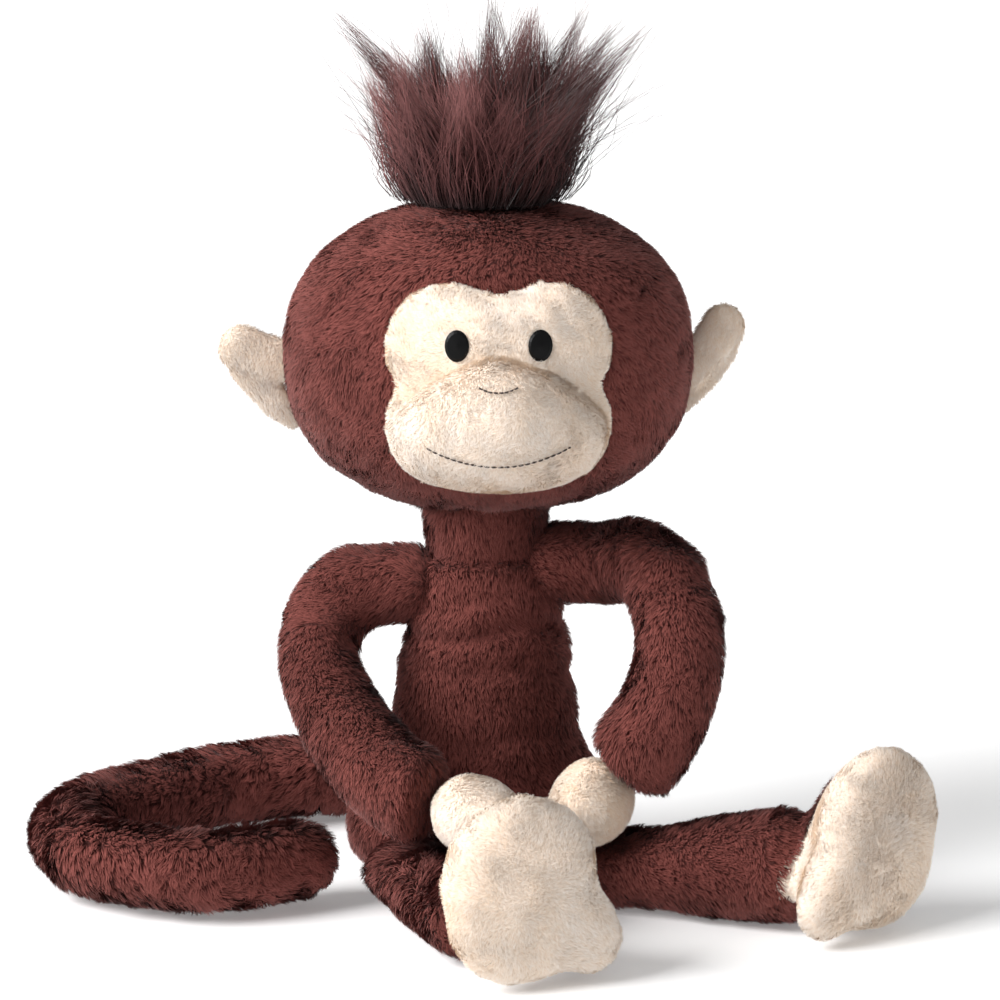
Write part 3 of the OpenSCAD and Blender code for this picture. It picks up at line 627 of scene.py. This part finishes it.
# Ears: a rounded flap folded over a leaf that tapers down to the head
EAR_FLAP = {
    "right": [(0.02, 0.66, 8.5), (0.3, 0.69, 10), (0.66, 0.77, 10.2)],
    "left": [(0.02, 0.36, 6.5), (0.3, 0.6, 8.4), (0.55, 0.8, 9)],
}  # how far out and up the ear each ball is, as shares of its box, and its radius in mm
EAR_LEAF = {
    "right": [(0.0, 0.17, 4.5), (0.22, 0.32, 7), (0.46, 0.5, 8), (0.6, 0.6, 8)],
    "left": [(-0.02, 0.12, 4.0), (0.2, 0.3, 6.5), (0.45, 0.52, 8), (0.6, 0.74, 8.5)],
}
ears = {}
for side, out in (("right", -1), ("left", 1)):
    lo, hi = np.array(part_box(side + "_ear_front")), np.array(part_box(side + "_ear_back"))
    lo, hi = np.minimum(lo[0], hi[0]), np.maximum(lo[1], hi[1])
    size = hi - lo
    root_x = hi[0] if out < 0 else lo[0]
    front, back = lo[1] + 0.42 * size[1], lo[1] + 0.68 * size[1]

    def placed(points, y):
        return [(root_x + out * a * size[0], y, lo[2] + b * size[2], r * MM) for a, b, r in points]

    parts = row(placed(EAR_FLAP[side], front)) + row(placed(EAR_LEAF[side], back), 13)
    ears[side] = skin(side + "_ear_skin", parts, 1.3 * MM, 2, 0.6 * MM)

fill_all()


def sewn_on(o, deep):
    """Carries the back of a piece into what it is sewn on, so that no gap shows from the side."""
    v = points_of(o.data)
    v[:, 1] += deep * np.clip((normals(o.data)[:, 1] + 0.15) / 0.5, 0, 1)
    move_points(o, v)


sewn_on(panel, 8 * MM)
sewn_on(muzzle, 7 * MM)


def data(o):
    v, t = arrays(o.data)
    return v, t, normals(o.data)


def finished(pieces, body=None, blend=None):
    """Every piece rides a body, or, when a blend is given, keeps its place with its transform baked into its
    points.
    """
    for q in pieces:
        if blend:
            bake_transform(q)
        else:
            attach(q, body)


def covered(o, cloth, pile, body, nodes):
    """A skin of one body with its pile."""
    o.data.materials.clear()
    o.data.materials.append(cloth)
    smooth_shaded(o)
    finished([o] + pile, body)
    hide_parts(*nodes)


def down(p, n):
    return np.broadcast_to(np.array([0.0, 0.0, -1.0]), p.shape)


# The two plushes. lean and curl are angles off the skin's normal in radians, clump_size is strands in a
# clump, soften is how much of the skin's own normal lights a strand, and lowest is its lowest root.
BROWN = dict(
    material=brown_pile, per_mm2=2.9, length=4.4 * MM, width=0.42 * MM, points=3, lowest=1.2 * MM,
    lean=0.55, curl=0.6, clump_size=12, clump=0.35, wild=0.55, brushed=0.45, soften=0.75,
)
CREAM = dict(
    material=cream_pile, per_mm2=5.0, length=2.3 * MM, width=0.32 * MM, points=2, lowest=0.6 * MM,
    lean=0.8, curl=0.3, clump_size=16, clump=0.25, wild=0.7, brushed=0.7, soften=0.85,
)
TAIL_PLUSH = dict(length=5.6 * MM, clump=0.5, clump_size=18)


def crease(o, lines):
    """Presses soft creases into a skin: each is its height, depth and half width in mm, its slope and
    how many mm it waves."""
    v, _, nv = data(o)
    p = v / MM
    for z, deep, half, slope, wave in lines:
        at = z + slope * p[:, 0] + wave * np.sin(p[:, 0] / 9)
        share = np.exp(-(((p[:, 2] - at) / half) ** 2)) * (nv[:, 1] < 0.4)
        v = v - nv * (deep * MM * share)[:, None]
    move_points(o, v)


def fold_dark(p):
    """The belly's creases lie in shade."""
    z = p[:, 2] / MM + 1.5 * np.sin(p[:, 0] / (9 * MM))
    return 0.2 * np.exp(-(((z - 104) / 2.6) ** 2)) + 0.12 * np.exp(-(((z - 88) / 2.2) ** 2))


# Torso and neck
BELLY_CREASES = [
    (104, 2.8, 3.2, 0.07, 2.6),
    (89, 2.0, 2.8, -0.12, 2.2),
    (119, 1.3, 3.0, 0.16, 1.6),
    (60, 1.4, 4.0, 0.05, 2.4),
]
crease(torso, BELLY_CREASES)
pile = coat("torso_pile", data(torso), down, BROWN, 11, dark=fold_dark)
covered(torso, brown_cloth, pile, "torso", ["torso_cover"])
pile = coat("neck_pile", data(neck), down, BROWN, 12)
covered(neck, brown_cloth, pile, "neck", ["neck_cover"])
torso_tree = BVHTree.FromPolygons(*(x.tolist() for x in arrays(torso.data)))


def outside_torso(p, n):
    """Where a limb's root is still outside the torso."""
    ok = np.ones(len(p), bool)
    lo, hi = (np.array(c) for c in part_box("torso_cover"))
    for i in np.where(((p > lo) & (p < hi)).all(axis=1))[0]:
        at, facing, _, _ = torso_tree.find_nearest(Vector(p[i]))
        ok[i] = (Vector(p[i]) - at).dot(facing) > -1 * MM
    return ok


# Limbs
BENDS = dict(arm=27 * MM, leg=16 * MM, tail=42 * MM)  # how far to each side of a joint the ends given with a blend lie
ROOT_BEND, ANKLE_BEND = 12 * MM, 9 * MM  # the same at the torso and at an ankle
ANKLE_BACK = 27 * MM  # how far behind its joint the middle of an ankle's blend lies
CREAM_FROM = dict(right=-15 * MM, left=-9 * MM)  # where the foot's cream cloth starts, from its joint
for name, limb in limbs.items():
    o = limb["skin"]
    v, t, nv = data(o)
    zone = chain_zones(v, limb["nodes"], limb["joints"])[t].max(axis=1)
    side = name.split("_")[0]
    if "leg" in name:
        heel = pivot(limb["joints"][2])
        middles = [np.array(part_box(side + n)).mean(axis=0) for n in ("_foot_upper", "_foot_sole")]
        toe_way = unit((middles[1] - middles[0]) * [1, 1, 0])
        zone[(zone == 2) & ((v[t].mean(axis=1) - heel) @ toe_way > CREAM_FROM[side])] = 3
    pieces = cut(o, zone, [f"{name}_skin_{k}" for k in range(zone.max() + 1)], brown_cloth)
    for k, piece in enumerate(pieces):
        if piece is None:
            continue
        po, patch = piece
        if k == 3:
            po.data.materials[0] = cream_cloth
            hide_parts(side + "_foot_sole")

            def outward(p, n, c=heel):
                return p - c

            pile = coat(f"{name}_sole_pile", patch, outward, CREAM, 90, lowest=0.3 * MM)
            finished([po] + pile, limb["bodies"][3])
            continue
        joint = limb["joints"][k]
        centre = pivot(joint)
        if k == 0:
            way, half = out_of_torso(joint), ROOT_BEND
        elif "ankle" in joint:
            way, half = limb["way"], ANKLE_BEND
            centre = centre - way * ANKLE_BACK
        else:
            way = joint_axis_way(joint, limb["nodes"][k - 1], limb["nodes"][k])
            half = BENDS[name.split("_")[-1]]

        def along(p, n, w=way):
            return np.broadcast_to(w, p.shape) + np.array([0, 0, -0.7])

        changes = TAIL_PLUSH if name == "tail" else {}
        keep = None if k else outside_torso
        pile = coat(f"{name}_pile_{k}", patch, along, BROWN, 30 + 7 * k + len(name), keep, **changes)
        start, end = tuple(centre - way * half), tuple(centre + way * half)
        bodies = limb["bodies"][k : k + 2]
        finished([po] + pile, blend=(bodies[0], bodies[1], start, end))
        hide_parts(limb["nodes"][k])
    bpy.data.objects.remove(o)

# Face
FACE_X = 5.5 * MM  # the middle of the face
NOSE = np.array([5.5, -60, 215]) * MM
eye_boxes = [np.array(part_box(n)) for n in ("right_eye_embroidery", "left_eye_embroidery")]
stitch_points = np.vstack([arrays(NODES[n].data)[0] for n in ("nose_stitch", "mouth_stitch")])


def clear_of_eyes(p, n):
    ok = n[:, 1] < 0.35
    for lo, hi in eye_boxes:
        c, h = (lo + hi) / 2, (hi - lo) / 2 + 0.3 * MM
        ok &= ((p[:, 0] - c[0]) / h[0]) ** 2 + ((p[:, 2] - c[2]) / h[2]) ** 2 > 1
    return ok


def clear_of_stitches(p, n):
    _, far = nearest(stitch_points, p)
    return (n[:, 1] < 0.5) & (far > 0.3 * MM)


def from_nose(p, n):
    return p - NOSE


pile = coat("face_pile", data(panel), from_nose, CREAM, 51, keep=clear_of_eyes)
covered(panel, cream_cloth, pile, "head", ["face_panel"])
pile = coat("muzzle_pile", data(muzzle), from_nose, CREAM, 52, keep=clear_of_stitches)
covered(muzzle, cream_cloth, pile, "head", ["muzzle_cover"])

# Head, bare where the face and the hair are
pv, pt = arrays(panel.data)
mv, mt = arrays(muzzle.data)
face_tree = BVHTree.FromPolygons(np.vstack([pv, mv]).tolist(), np.vstack([pt, mt + len(pv)]).tolist())
hair_lo, hair_hi = (np.array(c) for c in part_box("hair_backing"))


def clear_of_face(p, n):
    """Where the head has neither the face in front of it nor the hair's backing on it."""
    ok = np.ones(len(p), bool)
    front = np.where((p[:, 1] < -20 * MM) & (np.abs(p[:, 0] - FACE_X) < 60 * MM))[0]
    ahead = Vector((0, -1, 0))
    for i in front:
        if face_tree.ray_cast(Vector(p[i]) - 2 * MM * ahead, ahead, 45 * MM)[0] is not None:
            ok[i] = False
    c, h = (hair_lo + hair_hi) / 2, (hair_hi - hair_lo) / 2
    beside = ((p[:, 0] - c[0]) / h[0]) ** 2 + ((p[:, 1] - c[1]) / h[1]) ** 2 > 0.85
    return ok & (beside | (p[:, 2] < hair_lo[2] - 4 * MM))


def head_way(p, n):
    """Outward from the middle of the head and a little down."""
    return (p - np.array([1.5, -10, 262]) * MM) * [1.0, 0.6, 1.2] + np.array([0, 0, -20 * MM])


pile = coat("head_pile", data(head), head_way, BROWN, 61, keep=clear_of_face, length=4.0 * MM)
covered(head, brown_cloth, pile, "head", ["head_cover", "hair_backing"])

# Ears and hands
for side in ("right", "left"):
    pile = coat(side + "_ear_pile", data(ears[side]), down, CREAM, 71, length=2.2 * MM)
    layers = [side + "_ear_front", side + "_ear_back"]
    covered(ears[side], cream_cloth, pile, side + "_ear", layers)
    pile = coat(side + "_hand_pile", data(hands[side]), down, CREAM, 72)
    covered(hands[side], cream_cloth, pile, side + "_hand", [side + "_hand_cover"])

# Hair: a fan of locks that draw to points, with loose strands round them
lo, hi = (np.array(c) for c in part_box("hair_tuft"))
base = np.array([(lo[0] + hi[0]) / 2, (lo[1] + hi[1]) / 2, lo[2]])


def lock_paths(count, locks, spread, length, gather, loose, off, seed, k=7):
    """Strands in locks that fan out from the crown. gather is how far a lock draws to its point, loose
    how far a strand strays from it, and off the half width of a lock at its root."""
    r = rng(seed)
    a = r.uniform(0, TURN, locks)
    d = np.sqrt(r.random(locks))
    roots = np.stack([25 * MM * d * np.cos(a), 19 * MM * d * np.sin(a), np.zeros(locks)], axis=-1)
    lean = np.stack([np.cos(a) * d, 0.8 * np.sin(a) * d, np.zeros(locks)], axis=-1) * spread
    lean += r.normal(size=(locks, 3)) * [0.14, 0.14, 0]
    way = unit(lean + [0, 0, 1])
    long = length * r.uniform(0.78, 1.1, locks)
    bend = r.normal(size=(locks, 3)) * [0.24, 0.24, 0.05] + lean * 0.7
    who = r.integers(0, locks, count)
    spot = r.normal(size=(count, 3)) * [off, off, 0.4 * MM]
    own = long[who] * r.uniform(0.55, 1.05, count)
    s = np.linspace(0, 1, k)[None, :, None]
    path = (roots[who] + spot)[:, None, :] + way[who][:, None, :] * own[:, None, None] * s
    path += bend[who][:, None, :] * own[:, None, None] * s**2 * 0.5
    path += spot[:, None, :] * 0.5 * np.sin(math.pi * s) - spot[:, None, :] * gather * s**1.4
    path += (r.normal(size=(count, 3)) * loose)[:, None, :] * own[:, None, None] * s**2.2
    return path, r.random(locks)[who]


sets = [  # strands, locks, spread, length, gather, loose, off
    (6500, 20, 0.46, 72 * MM, 0.98, 0.03, 5.2 * MM),
    (7500, 46, 0.46, 52 * MM, 0.92, 0.05, 4.6 * MM),
    (7000, 90, 0.36, 37 * MM, 0.45, 0.08, 5.2 * MM),
    (700, 70, 0.62, 74 * MM, 0.3, 0.17, 4.4 * MM),
]
paths, tones = [], []
for i, one in enumerate(sets):
    path, lock_tone = lock_paths(*one, 82 + i)
    paths.append(path + base - [0, 0, 3 * MM])
    tones.append(np.clip(lock_tone * 0.6 + rng(90 + i).random(len(path)) * 0.38, 0, 1))
path, tone = np.vstack(paths), np.concatenate(tones)
path[:, :, 2] = np.minimum(path[:, :, 2], hi[2] + 6 * MM)
out = unit(path[:, -1] * [1, 1, 0] - base * [1, 1, 0] + 1e-6) * [1, 1, 0]
facing = unit(out + [0, 0, 0.2] + 0.7 * rng(91).normal(size=out.shape))
wide = 0.3 * MM * rng(92).uniform(0.7, 1.3, len(path))
lit = unit(out + [0, 0, 0.5])
hair = []
for i in (0, 1):
    q = slice(i, None, 2)
    hair.append(ribbons(f"hair_locks_{i}", path[q], wide[q], facing[q], tone[q], hair_pile, lit[q], tip=0.2))
finished(hair, "head")
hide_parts("hair_tuft")

# The CAD's own solids that stay: the stitched eyes, and the fillings closed in by their covers
own_materials = {"_eye_embroidery": eye_thread, "_stuffing": filling, "_pellet_bag": bag_cloth}
for name, o in NODES.items():
    for ending, material in own_materials.items():
        if name.endswith(ending):
            o.data.materials.clear()
            o.data.materials.append(material)

# Stitching of the nose and mouth
muzzle_tree = BVHTree.FromPolygons(mv.tolist(), mt.tolist())


def thread_run(node, stitch, gap):
    """A row of short stitches along a line of thread, each a little tube that dips at its ends. The
    line lies in the muzzle's pile."""
    radius, sides, rings = 0.36 * MM, 8, 6
    v = points_of(NODES[node].data)
    edges = np.linspace(v[:, 0].min(), v[:, 0].max(), 40)
    where = np.digitize(v[:, 0], edges[1:-1])
    line = np.array([v[where == k].mean(axis=0) for k in np.unique(where)])
    for k, p in enumerate(line):
        at, facing, _, _ = muzzle_tree.find_nearest(Vector(p))
        line[k] = at + facing * 1.1 * MM
    step = np.linalg.norm(np.diff(line, axis=0), axis=1)
    at = np.concatenate([[0], np.cumsum(step)])
    points, faces = [], []
    start = 0.0
    while start + stitch * 0.5 < at[-1]:
        s = np.linspace(start, min(start + stitch, at[-1]), rings)
        mid = np.stack([np.interp(s, at, line[:, c]) for c in range(3)], axis=-1)
        way = unit(np.gradient(mid, axis=0))
        out = unit(np.cross(way, [0.0, 0.0, 1.0]))
        out = out * -np.sign(out[:, 1:2])
        rise = np.sin(np.linspace(0, math.pi, rings))[:, None]
        mid = mid + out * (rise * 0.35 - 0.35) * MM
        across = unit(np.cross(way, out))
        turn = np.linspace(0, TURN, sides, endpoint=False)[None, :, None]
        r = radius * np.array([0.35, 0.85, 1, 1, 0.85, 0.35])[:, None, None]
        ring = mid[:, None] + r * (np.cos(turn) * out[:, None] + np.sin(turn) * across[:, None])
        base = len(points)
        points += ring.reshape(-1, 3).tolist()
        for i in range(rings - 1):
            for j in range(sides):
                a, b = base + i * sides + j, base + i * sides + (j + 1) % sides
                faces.append((a, b, b + sides, a + sides))
        faces.append(tuple(base + j for j in range(sides)))
        faces.append(tuple(base + (rings - 1) * sides + j for j in reversed(range(sides))))
        start += stitch + gap
    o = link(node.replace("_stitch", "_stitches"), points, faces, line_thread)
    smooth_shaded(o)
    finished([o], "head")
    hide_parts(node)


thread_run("nose_stitch", 1.9 * MM, 0.25 * MM)
thread_run("mouth_stitch", 2.3 * MM, 0.3 * MM)

# The closing seam is drawn down into the pile
v, t = arrays(NODES["back_closing_seam"].data)
height = np.linspace(v[:, 2].min(), v[:, 2].max(), 30)
where = np.digitize(v[:, 2], height[1:-1])
for k in np.unique(where):
    mine = where == k
    middle = v[mine].mean(axis=0)
    at, facing, _, _ = torso_tree.find_nearest(Vector(middle))
    v[mine] += np.array(at) + np.array(facing) * 1.4 * MM - middle
seam = link("closing_seam", v, t, seam_thread)
finished([seam], "torso")
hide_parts("back_closing_seam")

# ---------- floor, light and camera ----------

floor_material, _, floor_b = new_material("floor_paper", 0.9, 0.0, 0.1)
floor_b.inputs["Base Color"].default_value = (0.95, 0.95, 0.95, 1)
floor_b.inputs["Emission Color"].default_value = (1, 1, 1, 1)
floor_b.inputs["Emission Strength"].default_value = 0.2
floor = link("floor", [(-6, -6, 0), (6, -6, 0), (6, 10, 0), (-6, 10, 0)], [(0, 1, 2, 3)], floor_material)

world = bpy.data.worlds.new("studio")
world.use_nodes = True
world.node_tree.nodes["Background"].inputs["Color"].default_value = (1.0, 1.0, 1.0, 1)
world.node_tree.nodes["Background"].inputs["Strength"].default_value = 0.4
scene.world = world
scene.view_settings.view_transform = "Standard"

key = bpy.data.lights.new("key", "SUN")
key.energy = 4.5
key.angle = math.radians(35)
key_object = bpy.data.objects.new("key", key)
towards_key = Vector((-1.25, -0.66, 0.95))
key_object.rotation_euler = towards_key.to_track_quat("Z", "Y").to_euler()
scene.collection.objects.link(key_object)

camera_data = bpy.data.cameras.new("camera")
camera_data.sensor_width = 36
camera_data.lens = 144
camera = bpy.data.objects.new("camera", camera_data)
camera.location = (0.006, -1.58605, 0.4614)
camera.rotation_euler = (math.radians(79), 0, 0)
scene.collection.objects.link(camera)
scene.camera = camera
